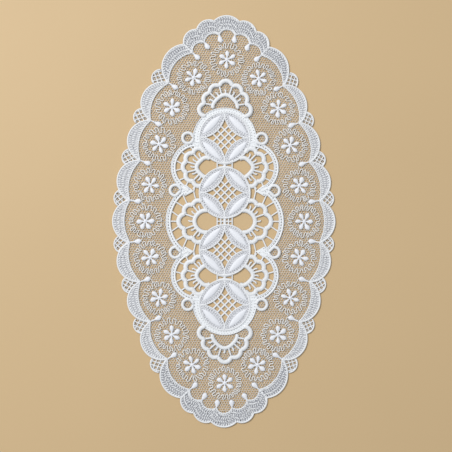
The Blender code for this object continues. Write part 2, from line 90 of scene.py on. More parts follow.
bpy.ops.mesh.primitive_grid_add(x_subdivisions=8, y_subdivisions=8, size=TABLE_SIZE,
                                location=(0, 0, -TABLE_DROP))
table = bpy.context.object
table.name = "table_top"
table_paint = bpy.data.materials.new("table_top_matt")
table_paint.use_nodes = True
nodes, links = table_paint.node_tree.nodes, table_paint.node_tree.links
shader = nodes["Principled BSDF"]
fill_in(shader, {"Roughness": TABLE_ROUGHNESS})
place = nodes.new("ShaderNodeTexCoord")
mottle = nodes.new("ShaderNodeTexNoise")
fill_in(mottle, {"Scale": MOTTLE_SCALE})
shade = nodes.new("ShaderNodeMixRGB")
fill_in(shade, {"Color1": (*[c * (1 - MOTTLE_SHARE) for c in TABLE_COLOUR], 1),
                "Color2": (*[c * (1 + MOTTLE_SHARE) for c in TABLE_COLOUR], 1)})
join_up(links, (place, "Object", mottle, "Vector"), (mottle, "Fac", shade, "Fac"),
        (shade, "Color", shader, "Base Color"))
table.data.materials.append(table_paint)

window = bpy.data.lights.new("window", "AREA")
window.shape = "SQUARE"
window.size = WINDOW_SIZE
window.energy = WINDOW_POWER
window.color = WINDOW_COLOUR
window_stand = bpy.data.objects.new("window", window)
window_stand.location = WINDOW_PLACE
window_stand.rotation_euler = (-window_stand.location).to_track_quat("-Z", "Y").to_euler()
bpy.context.scene.collection.objects.link(window_stand)

room = bpy.data.worlds.new("room")
room.use_nodes = True
fill_in(room.node_tree.nodes["Background"], {"Color": (*FILL_COLOUR, 1),
                                             "Strength": FILL_STRENGTH})
bpy.context.scene.world = room

# The tulle. A fine six-sided net of thin polyester thread, knitted by machine. It runs under the
# whole border to the scalloped edge, and is cut away where the guipure centre is set in.
MM = 0.001
QUARTERS = ((1, 1), (1, -1), (-1, 1), (-1, -1))
HALF_SIZES = (108.4, 200.4)

# How the cloth lies: its far end leans over to the right, and the right side of that end is drawn
# in and down. Every place says where a change starts and how far it takes to come in full.
END_LEAN = 3.0
END_LEAN_PLACE = (90, 105)
SIDE_DROP = 0.014
SIDE_DROP_PLACE = (-40, 200)
INNER_SHIFT = 0.9
RIM_PLACE = (0.84, 0.12)
RIGHT_END_SHIFT = 0.8
RIGHT_END_DROP = 1.6
RIGHT_END_ACROSS = (0, 40)
RIGHT_END_ALONG = (20, 100)
RIGHT_END_RIM_PLACE = (0.76, 0.10)
RIPPLE = 0.22
RIPPLE_WAVES = ((15, 31), (-40, 19))

NET_PITCH = 2.5
NET_THREAD = 0.53
NET_RISE = 0.75
NET_BOTTOM = 0.10
NET_WANDER = 0.16
NET_WANDER_WAVES = ((0.71, 0.33), (0.83, 0.27))
NET_CLEAR = 0.7
NET_SPARE = 6
NET_COLOUR = (0.88, 0.87, 0.85)

CUSPS = ((92.4, 20.5), (82.2, 58.7), (72.2, 97.5), (55.6, 134.1), (33.6, 163.8))
CRESCENT_RISE = (15.6, 16.2, 16.2, 16.6)
CRESCENT_INNER_RISE = (5.3, 5.5, 6.3, 6.6)
END_NOTCHES = ((55.6, 134.1), (41.4, 171.6), (29.1, 186.2), (12.4, 194.7), (-12.4, 194.7))
END_RISE = (12.7, 4.9, 4.4, 5.3)
END_CUSPS = ((55.6, 134.1), (33.6, 163.8), (22.2, 173.8), (7.6, 181.4), (-7.6, 181.4))
END_INNER_RISE = (7.2, 4.4, 4.9, 5.8)
WEDGES = (
    # x, y, way the wedge faces
    (98.4, 22.2, 4), (90.6, 61.4, 14), (79.4, 100.6, 20), (63.0, 138.6, 27),
)
WEDGE_R = 8.4
WEDGE_SPREAD = 62
PANEL_DISCS = (
    # x, y, radius of the guipure's outer edge there
    (0.0, 79.6, 31.5), (27.3, 52.3, 25.4), (18.7, 0.0, 39.0), (0.0, 27.9, 25.4),
)


def smooth(t):
    """0 below 0, 1 above 1 and an even rise between."""
    t = np.clip(t, 0, 1)
    return t * t * (3 - 2 * t)


def rising(where, place):
    """0 before a place and 1 after it."""
    return smooth((where - place[0]) / place[1])


def laid(points):
    """Where points of the even pattern, in mm, come to lie on the table, in metres."""
    x, y, z = points.T
    spread = np.hypot(x / HALF_SIZES[0], y / HALF_SIZES[1])
    rim = rising(spread, RIM_PLACE)
    right_end = rising(x, RIGHT_END_ACROSS) * rising(y, RIGHT_END_ALONG)
    across = (END_LEAN * rising(y, END_LEAN_PLACE) + INNER_SHIFT * (1 - rim)
              - RIGHT_END_SHIFT * right_end * rim)
    down = (SIDE_DROP * x * rising(y, SIDE_DROP_PLACE)
            + RIGHT_END_DROP * right_end * rising(spread, RIGHT_END_RIM_PLACE))
    first, second = (np.sin(x / wide + y / long) for wide, long in RIPPLE_WAVES)
    return np.stack([x + across, y - down, z + RIPPLE * (1 + first * second) / 2], 1) * MM


def polar(centre, radius, angle):
    turn = math.radians(angle)
    return (centre[0] + radius * math.cos(turn), centre[1] + radius * math.sin(turn))


def angle_of(centre, point):
    return math.degrees(math.atan2(point[1] - centre[1], point[0] - centre[0]))


def arc(centre, radius, start, end, steps=48):
    return [polar(centre, radius, start + (end - start) * i / steps) for i in range(steps + 1)]


def bow(p, q, rise, steps=48):
    """Points on the round arc from p to q that stands rise to the right of the way there."""
    dx, dy = q[0] - p[0], q[1] - p[1]
    half = math.hypot(dx, dy) / 2
    radius = (half * half + rise * rise) / (2 * rise)
    back = (rise - radius) / (2 * half)
    centre = ((p[0] + q[0]) / 2 + dy * back, (p[1] + q[1]) / 2 - dx * back)
    first = angle_of(centre, p)
    sweep = (angle_of(centre, q) - first) % 360
    return arc(centre, radius, first, first + sweep, steps)


def mirrored(points, sx, sy):
    return [(x * sx, y * sy) for x, y in points]


def mirrored_way(angle, sx, sy):
    """The way that an angle points once it is mirrored."""
    return angle_of((0, 0), mirrored([polar((0, 0), 1, angle)], sx, sy)[0])


def crescent_edges():
    """The outer and the inner edge of each side crescent, all round the cloth."""
    edges = []
    ends = [((CUSPS[0][0], -CUSPS[0][1]), CUSPS[0])] + list(zip(CUSPS[:-2], CUSPS[1:-1]))
    for row, (p, q) in enumerate(ends):
        outer = bow(p, q, CRESCENT_RISE[row])
        inner = bow(p, q, CRESCENT_INNER_RISE[row])
        for sx, sy in QUARTERS if row else ((1, 1), (-1, 1)):
            edges.append((mirrored(outer, sx, sy), mirrored(inner, sx, sy)))
    return edges


def end_scallops(sy):
    """The outer and inner edges of the scallops round one end, from the right to the left."""
    edges = []
    for i, (rise, inner_rise) in enumerate(zip(END_RISE, END_INNER_RISE)):
        edges.append((bow(END_NOTCHES[i], END_NOTCHES[i + 1], rise),
                      bow(END_CUSPS[i], END_CUSPS[i + 1], inner_rise)))
    for outer, inner in edges[-2::-1]:
        edges.append((mirrored(outer[::-1], -1, 1), mirrored(inner[::-1], -1, 1)))
    return [(mirrored(outer, 1, sy), mirrored(inner, 1, sy)) for outer, inner in edges]


def wedge_shapes():
    """The cusp, rim and facing angle of each lattice wedge, all round the cloth."""
    shapes = []
    for sx, sy in QUARTERS:
        for cusp, (x, y, faces) in zip(CUSPS, WEDGES):
            rim = arc((x, y), WEDGE_R, faces - WEDGE_SPREAD, faces + WEDGE_SPREAD)
            shapes.append((mirrored([cusp], sx, sy)[0], mirrored(rim, sx, sy),
                           mirrored_way(faces, sx, sy)))
    return shapes


def inside(points, outline):
    """Which points lie inside an outline."""
    x, y = points[:, 0], points[:, 1]
    found = np.zeros(len(points), bool)
    for (x0, y0), (x1, y1) in zip(outline, outline[1:] + outline[:1]):
        if y0 != y1:
            found ^= ((y0 > y) != (y1 > y)) & (x < (x1 - x0) * (y - y0) / (y1 - y0) + x0)
    return found


def on_the_net(points):
    """Which points the net covers: all inside the border's edge, but not under the panel."""
    corners = list(CUSPS)
    inner = corners + [(-x, y) for x, y in corners[::-1]]
    found = inside(points, inner + [(-x, -y) for x, y in inner])
    for outer, _inner in crescent_edges():
        found |= inside(points, outer)
    for sy in (1, -1):
        ring = [p for outer, _inner in end_scallops(sy) for p in outer]
        found |= inside(points, ring)
    for cusp, rim, _facing in wedge_shapes():
        found |= inside(points, [cusp] + rim)
    for x, y, radius in PANEL_DISCS:
        for sx, sy in QUARTERS:
            found &= np.hypot(points[:, 0] - x * sx, points[:, 1] - y * sy) > radius - NET_CLEAR
    return found


def sewn(name, *layers):
    """One object from layers, each a list of parts and the thread that they are sewn in.

    A part is its points in mm, and groups of faces with their place in the stitches.
    """
    points = laid(np.concatenate([p for parts, _thread in layers for p, _groups in parts]))
    corners, sizes, maps, threads_used = [], [], [], []
    start = 0
    for row, (parts, _thread) in enumerate(layers):
        for part_points, groups in parts:
            for faces, stitch_map in groups:
                corners.append((faces + start).ravel())
                sizes.append(np.full(len(faces), faces.shape[1]))
                maps.append(stitch_map.reshape(-1, 2))
                threads_used.append(np.full(len(faces), row))
            start += len(part_points)
    corners, sizes, maps, threads_used = (
        np.concatenate(kind) for kind in (corners, sizes, maps, threads_used))
    mesh = bpy.data.meshes.new(name)
    mesh.vertices.add(len(points))
    mesh.vertices.foreach_set("co", points.astype(np.float32).ravel())
    mesh.loops.add(len(corners))
    mesh.loops.foreach_set("vertex_index", corners.astype(np.int32))
    mesh.polygons.add(len(sizes))
    mesh.polygons.foreach_set("loop_start", (np.cumsum(sizes) - sizes).astype(np.int32))
    mesh.polygons.foreach_set("use_smooth", np.ones(len(sizes), bool))
    mesh.polygons.foreach_set("material_index", threads_used.astype(np.int32))
    mesh.update(calc_edges=True)
    layer = mesh.uv_layers.new(name="stitch")
    layer.data.foreach_set("uv", maps.astype(np.float32).ravel())
    for _parts, thread in layers:
        mesh.materials.append(thread)
    made = bpy.data.objects.new(name, mesh)
    bpy.context.scene.collection.objects.link(made)
    return made


def net_strands():
    """The knots of the net, their kind, and the threads between them as pairs of knots."""
    side = NET_PITCH / math.sqrt(3)
    row_step = NET_PITCH * math.sqrt(3) / 2
    wide, long = (half + NET_SPARE for half in HALF_SIZES)
    rows = int(long / row_step)
    spots, index = [], {}
    for j in range(-rows, rows + 1):
        first = int(-wide / NET_PITCH - j / 2)
        for i in range(first, first + int(2 * wide / NET_PITCH) + 1):
            for kind in (0, 1):
                index[i, j, kind] = len(spots)
                spots.append(((i + j / 2) * NET_PITCH, j * row_step + kind * side, kind))
    spots = np.array(spots)
    used = on_the_net(spots[:, :2])
    threads = []
    for (i, j, kind), a in index.items():
        if kind == 0 and used[a]:
            for way, other in enumerate(((i, j, 1), (i, j - 1, 1), (i + 1, j - 1, 1))):
                b = index.get(other)
                if b is not None and used[b]:
                    threads.append((a, b, way))
    return spots, np.array(threads)


def knotted(spots, threads):
    """A closed mesh of three-sided threads that share their corners at every knot."""
    knots, where = np.unique(threads[:, :2], return_inverse=True)
    a, b = where.reshape(-1, 2).T
    way = threads[:, 2]
    x, y, kind = spots[knots].T
    kind = kind.astype(int)
    (quick_x, slow_x), (quick_y, slow_y) = NET_WANDER_WAVES
    wander = NET_WANDER * np.stack([np.sin(y * quick_x + np.sin(x * slow_x)),
                                    np.sin(x * quick_y + np.sin(y * slow_y))], 1)
    place = np.stack([x, y], 1) + wander
    turns = np.radians(np.array([(30, 150, 270), (330, 210, 90)]))[kind]
    reach = NET_THREAD / math.sqrt(3)
    points = np.empty((len(knots), 4, 3))
    points[:, 0, :2] = place
    points[:, 0, 2] = NET_BOTTOM + NET_RISE
    points[:, 1:, 0] = place[:, :1] + reach * np.cos(turns)
    points[:, 1:, 1] = place[:, 1:] + reach * np.sin(turns)
    points[:, 1:, 2] = NET_BOTTOM
    # corners left and right of each thread, at its first and its second knot
    left_a, right_a = np.array((2, 3, 1))[way], np.array((1, 2, 3))[way]
    left_b, right_b = np.array((2, 1, 3))[way], np.array((1, 3, 2))[way]
    a4, b4 = a * 4, b * 4
    quads = np.concatenate([
        np.stack([a4, b4, b4 + left_b, a4 + left_a], 1),
        np.stack([b4, a4, a4 + right_a, b4 + right_b], 1),
        np.stack([a4 + left_a, b4 + left_b, b4 + right_b, a4 + right_a], 1)])
    every = np.arange(len(knots)) * 4
    under = np.stack([every + 1, every + 3, every + 2], 1)
    under[kind == 1] = np.stack([every + 1, every + 2, every + 3], 1)[kind == 1]
    tied = np.zeros((len(knots), 3), bool)
    tied[a, way] = True
    tied[b, way] = True
    caps = []
    for turn, (la, ra, lb, rb) in enumerate(((2, 1, 2, 1), (3, 2, 1, 3), (1, 3, 3, 2))):
        open_a = every[(kind == 0) & ~tied[:, turn]]
        open_b = every[(kind == 1) & ~tied[:, turn]]
        caps.append(np.stack([open_a, open_a + ra, open_a + la], 1))
        caps.append(np.stack([open_b, open_b + lb, open_b + rb], 1))
    tris = np.concatenate([under] + caps)
    points = points.reshape(-1, 3)
    return points, [(quads, points[quads][..., :2]), (tris, points[tris][..., :2])]


THREAD_GLOSS = {"Specular IOR Level": 0.3, "Sheen Weight": 0.25, "Sheen Roughness": 0.5}
STRAND_WAVE = {"Distortion": 1.2, "Detail": 1.0}
WAVE_REPEAT_MM = 0.314
FLECK_DETAIL = 3.0
FLECK_SHARE = 0.5
TONE_ENDS = (0.25, 0.85)
BUMP_STRENGTH = 0.8


def thread_finish(name, colour, shade_share, roughness, thread_mm, fleck_mm, bump_mm):
    """A matt white thread: fine twisted strands, small changes of tone and painted shade between
    them.
    """
    made = bpy.data.materials.new(name)
    made.use_nodes = True
    nodes, links = made.node_tree.nodes, made.node_tree.links
    shader = nodes["Principled BSDF"]
    fill_in(shader, {"Roughness": roughness, **THREAD_GLOSS})
    stitch = nodes.new("ShaderNodeUVMap")
    stitch.uv_map = "stitch"
    strands = nodes.new("ShaderNodeTexWave")
    strands.wave_type = "BANDS"
    strands.bands_direction = "X"
    fill_in(strands, {"Scale": WAVE_REPEAT_MM / thread_mm, **STRAND_WAVE})
    place = nodes.new("ShaderNodeTexCoord")
    flecks = nodes.new("ShaderNodeTexNoise")
    fill_in(flecks, {"Scale": 1 / (fleck_mm * MM), "Detail": FLECK_DETAIL})
    both = nodes.new("ShaderNodeMath")
    both.operation = "MULTIPLY_ADD"
    both.inputs[1].default_value = FLECK_SHARE
    # The ramp darkens the colour between strands as painted shade; the flecks change its tone at
    # random.
    tone = nodes.new("ShaderNodeValToRGB")
    for end, position, share in zip(tone.color_ramp.elements, TONE_ENDS, (shade_share, 1)):
        end.position = position
        end.color = (*[c * share for c in colour], 1)
    bump = nodes.new("ShaderNodeBump")
    fill_in(bump, {"Distance": bump_mm * MM, "Strength": BUMP_STRENGTH})
    join_up(links, (stitch, "UV", strands, "Vector"), (place, "Object", flecks, "Vector"),
            (flecks, "Fac", both, 0), (strands, "Fac", both, 2), (both, "Value", tone, "Fac"),
            (tone, "Color", shader, "Base Color"), (strands, "Fac", bump, "Height"),
            (bump, "Normal", shader, "Normal"))
    return made


tulle_thread = thread_finish("tulle_thread", NET_COLOUR, shade_share=0.90, roughness=0.7,
                             thread_mm=0.25, fleck_mm=3.0, bump_mm=0.03)
spots, threads = net_strands()
tulle_net = sewn("tulle_net", ([knotted(spots, threads)], tulle_thread))
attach(tulle_net, "root")
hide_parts("tulle_ground")

# The border's filling. Inside its cords the border is stitched full, in short stitches across
# each crescent and each end scallop, which leave rows of pin-sized holes in the net.
FILLING_HEIGHTS = (0.15, 1.15)
FILLING_CELL = (1.05, 1.45)
FURROW = 0.28
PINHOLE_SHARE = 0.70
PINHOLE_MIN_MM = 0.6
SIDE_STITCH = (1.6, 0.9, 1.5)
SIDE_STITCH_SPACING = 2.4
SIDE_STITCH_LENGTH = 3.6
SIDE_STITCH_LEAN = 0.5
END_STITCH = (1.4, 0.9, 1.6)
END_STITCH_SPACING = 2.5
END_STITCH_LENGTH = 2.9
END_STITCH_LEAN = 1.5
STITCH_PITCH = 2.4
STITCH_TILT = (0.6, 1.4)
STITCH_SHIFT = (-0.11, 0.11)
STITCH_GAP = (0.08, 0.14)
STITCH_SINK = (0.0, 0.25)
HOLE_REPEAT = 6
SATIN_PITCH = 0.9
SATIN_RIDGE = 0.07
SATIN_SLANT = 0.25
SATIN_SIDES = 5
SATIN_TIP = 0.12
SATIN_CROWN = 0.6
# The fillings' grey is partly painted shade: the white thread is darkened to stand in for the
# shade in the pinholes and between the stitches. The end scallops' filling is a copy painted
# darker still.
FILLING_COLOUR = (0.56, 0.57, 0.61)
END_FILLING_SHADED_COLOUR = (0.40, 0.41, 0.45)
STITCH_COLOUR = (0.90, 0.91, 0.93)


def pricked(grid, holes, bottom, cell):
    """A closed stitched sheet over a grid of points, with a small hole in some of its cells."""
    side_a, side_b = grid[1, 0] - grid[0, 0], grid[0, 1] - grid[0, 0]
    if side_a[0] * side_b[1] - side_a[1] * side_b[0] < 0:
        grid, holes = grid[:, ::-1], holes[:, ::-1]
    n, m = grid.shape[:2]
    top = grid.reshape(-1, 3)
    low = top.copy()
    low[:, 2] = bottom
    number = np.arange(n * m).reshape(n, m)
    cells = np.stack([number[:-1, :-1], number[1:, :-1], number[1:, 1:], number[:-1, 1:]], -1)
    open_cells = cells[holes > 0]
    share = holes[holes > 0][:, None, None]
    middle = top[open_cells].mean(1, keepdims=True)
    hole_top = middle + (top[open_cells] - middle) * share
    hole_low = hole_top.copy()
    hole_low[..., 2] = bottom
    count = len(open_cells)
    first = 2 * n * m
    rim = first + np.arange(count * 4).reshape(count, 4)
    rim_low = rim + count * 4
    full = cells[holes <= 0]
    quads = [full, full[:, ::-1] + n * m]
    for s in range(4):
        t = (s + 1) % 4
        quads.append(np.stack([open_cells[:, s], open_cells[:, t], rim[:, t], rim[:, s]], 1))
        quads.append(np.stack([open_cells[:, t], open_cells[:, s]], 1) + n * m)
        quads[-1] = np.concatenate([quads[-1], np.stack([rim_low[:, s], rim_low[:, t]], 1)], 1)
        quads.append(np.stack([rim[:, s], rim[:, t], rim_low[:, t], rim_low[:, s]], 1))
    loop = np.concatenate([number[:-1, 0], number[-1, :-1], number[:0:-1, -1], number[0, :0:-1]])
    after = np.roll(loop, -1)
    quads.append(np.stack([loop + n * m, after + n * m, after, loop], 1))
    quads = np.concatenate(quads)
    points = np.concatenate([top, low, hole_top.reshape(-1, 3), hole_low.reshape(-1, 3)])
    reach = np.repeat(np.arange(n) * cell[0], m)
    across = np.tile(np.arange(m) * cell[1], n)
    flat_map = np.stack([reach, across], 1)
    hole_map = flat_map[open_cells].reshape(-1, 2)
    stitch_map = np.concatenate([flat_map, flat_map, hole_map, hole_map])
    return points, [(quads, stitch_map[quads])]


def evenly(line, count):
    """This many points at even steps along a line."""
    line = np.array(line, float)
    reach = np.concatenate([[0], np.cumsum(np.hypot(*np.diff(line, axis=0).T))])
    spots = np.linspace(0, reach[-1], count)
    return np.stack([np.interp(spots, reach, line[:, k]) for k in (0, 1)], 1)


def length_of(line):
    return float(np.hypot(*np.diff(np.array(line), axis=0).T).sum())


def satin(line, width, bottom, top, closed=False, pitch=SATIN_PITCH, sides=SATIN_SIDES,
          ridge=SATIN_RIDGE, swell=None, blunt=True):
    """Satin stitch along a line: a round-topped band with a crest at every stitch.

    swell gives the share of the width at each share of the length.
    """
    line = list(line) + [line[0]] if closed else line
    length = length_of(line)
    rings = max(4, 2 * int(round(length / pitch)))
    spots = evenly(line, rings + 1)
    if closed:
        spots = spots[:-1]
        way = np.roll(spots, -1, 0) - np.roll(spots, 1, 0)
    else:
        way = np.gradient(spots, axis=0)
    way /= np.hypot(*way.T)[:, None]
    count = len(spots)
    share = np.linspace(0, 1, count)
    size = np.ones(count) if swell is None else swell(share)
    if blunt and not closed and swell is None:
        reach = np.minimum(share, 1 - share) * length / (width / 2)
        size = np.sqrt(np.clip(reach * (2 - reach), SATIN_TIP, 1) * (reach < 1) + (reach >= 1))
    crest = 1 + ridge * (1 - 2 * (np.arange(count) % 2))
    half = width / 2 * size * crest
    rise = (top - bottom) * (np.sqrt(size) if swell is None else size ** SATIN_CROWN) * crest
    turns = np.linspace(0, np.pi, sides + 1)
    side, up = np.cos(turns), np.sin(turns)
    points = np.empty((count, sides + 1, 3))
    offset = half[:, None] * side
    lean = SATIN_SLANT * pitch * side
    for k, (normal, forward) in enumerate(((-way[:, 1], way[:, 0]), (way[:, 0], way[:, 1]))):
        points[..., k] = spots[:, k, None] + normal[:, None] * offset + forward[:, None] * lean
    points[..., 2] = bottom + rise[:, None] * up
    ring = np.arange(count if closed else count - 1)[:, None]
    after = (ring + 1) % count
    k = np.arange(sides + 1)[None]
    nxt = (k + 1) % (sides + 1)
    around = sides + 1
    quads = np.stack([ring * around + k, ring * around + nxt,
                      after * around + nxt, after * around + k], -1).reshape(-1, 4)
    u = np.stack(np.broadcast_arrays(ring + 0 * k, ring + 0 * k, ring + 1 + 0 * k,
                                     ring + 1 + 0 * k), -1) * (length / rings)
    v = np.stack(np.broadcast_arrays(k + 0 * ring, k + 1 + 0 * ring, k + 1 + 0 * ring,
                                     k + 0 * ring), -1) * (width / sides)
    groups = [(quads, np.stack([u, v], -1).reshape(-1, 4, 2))]
    if not closed:
        ends = np.stack([k[0][::-1], (count - 1) * around + k[0]])
        groups.append((ends, np.zeros((2, around, 2))))
    return points.reshape(-1, 3), groups


def scattered(column, row, rows):
    """Holes all over, every other row set off by half a repeat."""
    return (column + HOLE_REPEAT // 2 * (row % 2)) % HOLE_REPEAT == 0


def filling(edge_a, edge_b, cell, heights, holes_where, chooser):
    """Stitched ground between two edges: furrows across it and small holes between stitches."""
    columns = max(4, int(round(max(length_of(edge_a), length_of(edge_b)) / cell[0])) + 1)
    a, b = evenly(edge_a, columns), evenly(edge_b, columns)
    widths = np.hypot(*(b - a).T)
    rows = max(2, int(round(widths.max() / cell[1])) + 1)
    share = np.linspace(0, 1, rows)[None, :, None]
    flat = a[:, None] * (1 - share) + b[:, None] * share
    height = heights[1] - FURROW * (np.arange(columns)[:, None] % 2) * np.ones((1, rows))
    height -= FURROW / 2 * chooser.random((columns, rows))
    grid = np.concatenate([flat, height[..., None]], 2)
    column, row = np.indices((columns - 1, rows - 1))
    holes = np.where(holes_where(column, row, rows - 1), PINHOLE_SHARE, 0.0)
    cell_width = (widths[:-1] + widths[1:])[:, None] / 2 / (rows - 1)
    holes[np.broadcast_to(cell_width < PINHOLE_MIN_MM, holes.shape)] = 0
    holes[0] = holes[-1] = 0
    return pricked(grid, holes, heights[0], cell)


def between(chooser, span, count=None):
    """An uneven value from the span's least to its most, or this many of them."""
    return span[0] + (span[1] - span[0]) * chooser.random(count)


def short_stitches(edge_a, edge_b, thread, spacing, length, lean, chooser):
    """Rows of short stitches from one edge to the other, leaning left and right in turn."""
    columns = max(5, int(round(max(length_of(edge_a), length_of(edge_b)) / spacing)))
    a, b = (evenly(edge, 2 * columns + 1)[1::2] for edge in (edge_a, edge_b))
    along = np.gradient((a + b) / 2, axis=0)
    along /= np.hypot(*along.T)[:, None]
    stitches = []
    for column in range(columns):
        way = b[column] - a[column]
        rows = int(round(math.hypot(*way) / length))
        for row in range(rows):
            tilt = along[column] * lean * (row % 2 - 0.5) * between(chooser, STITCH_TILT)
            shift = along[column] * spacing * between(chooser, STITCH_SHIFT)
            start = a[column] + way * (row + between(chooser, STITCH_GAP)) / rows - tilt + shift
            end = a[column] + way * (row + 1 - between(chooser, STITCH_GAP)) / rows + tilt + shift
            top = thread[2] - between(chooser, STITCH_SINK)
            stitches.append(satin([tuple(start), tuple(end)], thread[0], thread[1], top,
                                  pitch=STITCH_PITCH, sides=3, ridge=0))
    return stitches


chooser = np.random.default_rng(7)
filling_thread = thread_finish("filling_thread", FILLING_COLOUR, shade_share=0.80,
                               roughness=0.75, thread_mm=0.62, fleck_mm=1.4, bump_mm=0.10)
# The end scallops' filling: the same finish with more painted shade.
end_filling_shaded_thread = thread_finish("end_filling_shaded_thread", END_FILLING_SHADED_COLOUR, shade_share=0.75,
                                   roughness=0.75, thread_mm=0.62, fleck_mm=1.4, bump_mm=0.10)
stitch_thread = thread_finish("stitch_thread", STITCH_COLOUR, shade_share=0.86,
                              roughness=0.6, thread_mm=0.45, fleck_mm=1.6, bump_mm=0.06)
parts, end_parts, stitches = [], [], []
for outer, inner in crescent_edges():
    parts.append(filling(outer, inner, FILLING_CELL, FILLING_HEIGHTS, scattered, chooser))
    stitches += short_stitches(outer, inner, SIDE_STITCH, SIDE_STITCH_SPACING,
                               SIDE_STITCH_LENGTH, SIDE_STITCH_LEAN, chooser)
for sy in (1, -1):
    for outer, inner in end_scallops(sy):
        end_parts.append(filling(outer, inner, FILLING_CELL, FILLING_HEIGHTS, scattered, chooser))
        stitches += short_stitches(outer, inner, END_STITCH, END_STITCH_SPACING,
                                   END_STITCH_LENGTH, END_STITCH_LEAN, chooser)
border_filling = sewn("border_filling", (parts, filling_thread), (end_parts, end_filling_shaded_thread),
                      (stitches, stitch_thread))
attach(border_filling, "root")

# The border's cords. Padded satin stitch along both edges of every crescent and scallop, and
# round the rim of every wedge: thick and bright outside, thinner inside.
OUTER_CORD = (2.1, 0.0, 2.0)
INNER_CORD = (1.4, 0.2, 1.75)
RIM_CORD = (1.7, 0.0, 1.75)
CORD_COLOUR = (0.86, 0.875, 0.905)

cord_thread = thread_finish("cord_thread", CORD_COLOUR, shade_share=0.90,
                            roughness=0.55, thread_mm=0.45, fleck_mm=1.8, bump_mm=0.06)
parts = []
for outer, inner in crescent_edges() + end_scallops(1) + end_scallops(-1):
    parts += [satin(outer, *OUTER_CORD), satin(inner, *INNER_CORD)]
for sx, sy in QUARTERS:
    parts.append(satin(mirrored([END_NOTCHES[1], END_CUSPS[1]], sx, sy), *INNER_CORD))
for cusp, rim, _facing in wedge_shapes():
    parts.append(satin(rim, *RIM_CORD))
border_cords = sewn("border_cords", (parts, cord_thread))
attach(border_cords, "root")

# The wedges between the crescents. Stitched bars laid crosswise over the net, in small diamonds
# that run with the wedge's two sides.
WEDGE_BAR = (1.15, 0.5, 1.35)
WEDGE_PITCH = 3.75
WEDGE_BAR_TURN = 43
WEDGE_BAR_RUN = (-2, 24)
WEDGE_BAR_LEAST = 6
WEDGE_FOOT = 0.6


def run_inside(start, end, outline):
    """The stretch of a straight line that lies inside an outline, unless it is very short."""
    spots = evenly([start, end], 121)
    kept = spots[inside(spots, outline)]
    return [tuple(kept[0]), tuple(kept[-1])] if len(kept) > WEDGE_BAR_LEAST else None


parts = []
for cusp, rim, facing in wedge_shapes():
    outline = [polar(cusp, -WEDGE_FOOT, facing)] + rim
    for turn in (WEDGE_BAR_TURN, -WEDGE_BAR_TURN):
        for step in range(-4, 5):
            foot = polar(cusp, (step + 0.5) * WEDGE_PITCH, facing + turn + 90)
            ends = (polar(foot, reach, facing + turn) for reach in WEDGE_BAR_RUN)
            line = run_inside(*ends, outline)
            if line:
                parts.append(satin(line, *WEDGE_BAR, blunt=False))
wedge_lattice = sewn("wedge_lattice", (parts, cord_thread))
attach(wedge_lattice, "root")

# The buds. One padded satin drop hangs inwards from every cusp on a short stem, its stitches
# laid across it.
BUDS = (
    # x, y, direction it points in
    (85.5, 19.5, 184), (76.1, 56.6, 200), (65.6, 94.6, 205), (50.3, 130.7, 212),
    (29.7, 160.2, 224), (20.0, 171.0, 240), (7.1, 177.9, 262),
)
BUD_LENGTH = 8.0
BUD_WIDTH = 5.4
BUD_HEIGHTS = (0.6, 2.05)
BUD_STEM = (1.5, 0.6, 1.65)
BUD_NECK = 0.24
BUD_BROADEST = 0.68
BUD_END = 0.22
FINE_PITCH = 0.75
SATIN_COLOUR = (0.86, 0.875, 0.93)


def bud_shape(share):
    """The width of a bud, which widens from its stem to a round end."""
    neck = BUD_NECK + (1 - BUD_NECK) * smooth(share / BUD_BROADEST)
    return neck * np.sqrt(np.clip((1 - share) / BUD_END, SATIN_TIP, 1))


satin_thread = thread_finish("satin_thread", SATIN_COLOUR, shade_share=0.93,
                             roughness=0.45, thread_mm=0.4, fleck_mm=2.2, bump_mm=0.05)
parts = []
for (x, y, direction), cusp in zip(BUDS, CUSPS + END_CUSPS[2:4]):
    for sx, sy in QUARTERS:
        parts.append(satin(mirrored([cusp, (x, y)], sx, sy), *BUD_STEM))
        line = [polar((x * sx, y * sy), reach, mirrored_way(direction, sx, sy))
                for reach in (-BUD_LENGTH / 2, BUD_LENGTH / 2)]
        parts.append(satin(line, BUD_WIDTH, *BUD_HEIGHTS, pitch=FINE_PITCH, swell=bud_shape))
buds = sewn("buds", (parts, satin_thread))
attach(buds, "root")

# The flowers. Six padded satin drops round a small knot, with thin stems into the middle; each
# petal's stitches lie across it, so some catch the light and others look grey.
FLOWERS = (
    # x, y, turn
    (0.0, 157.5, 30), (31.7, 139.7, 41), (51.7, 110.5, 29), (63.8, 74.6, 15),
    (72.6, 35.1, 8), (77.3, 0.0, 0),
)
FLOWER_R = 9.1
PETALS = 6
PETAL_TURN = (-3.0, 3.0)
PETAL_REACH = (0.94, 1.04)
PETAL_ROOT = 0.4
PETAL_WIDTH = 4.9
PETAL_FULLNESS = (0.82, 1.08)
PETAL_HEIGHTS = (0.6, 1.85)
PETAL_LIFT = (-0.125, 0.125)
PETAL_BROADEST = 1.9
PETAL_ROUNDNESS = 0.8
PETAL_STEM = 0.30
PETAL_TIP = 0.10
KNOT_WIDTH = 2.6
KNOT_PITCH = 0.6


def petal_shape(share):
    """The width of a petal: a thin stem, then a drop that is broadest towards its outer end."""
    drop = np.sin(np.pi * share ** PETAL_BROADEST) ** PETAL_ROUNDNESS
    return np.clip(drop, PETAL_STEM * (1 - share) + PETAL_TIP, 1)


def flower_places():
    """The middle and the turn of every flower, all round the cloth."""
    return [(x * sx, y * sy, turn * sx * sy) for x, y, turn in FLOWERS
            for sx in ((1, -1) if x else (1,)) for sy in ((1, -1) if y else (1,))]


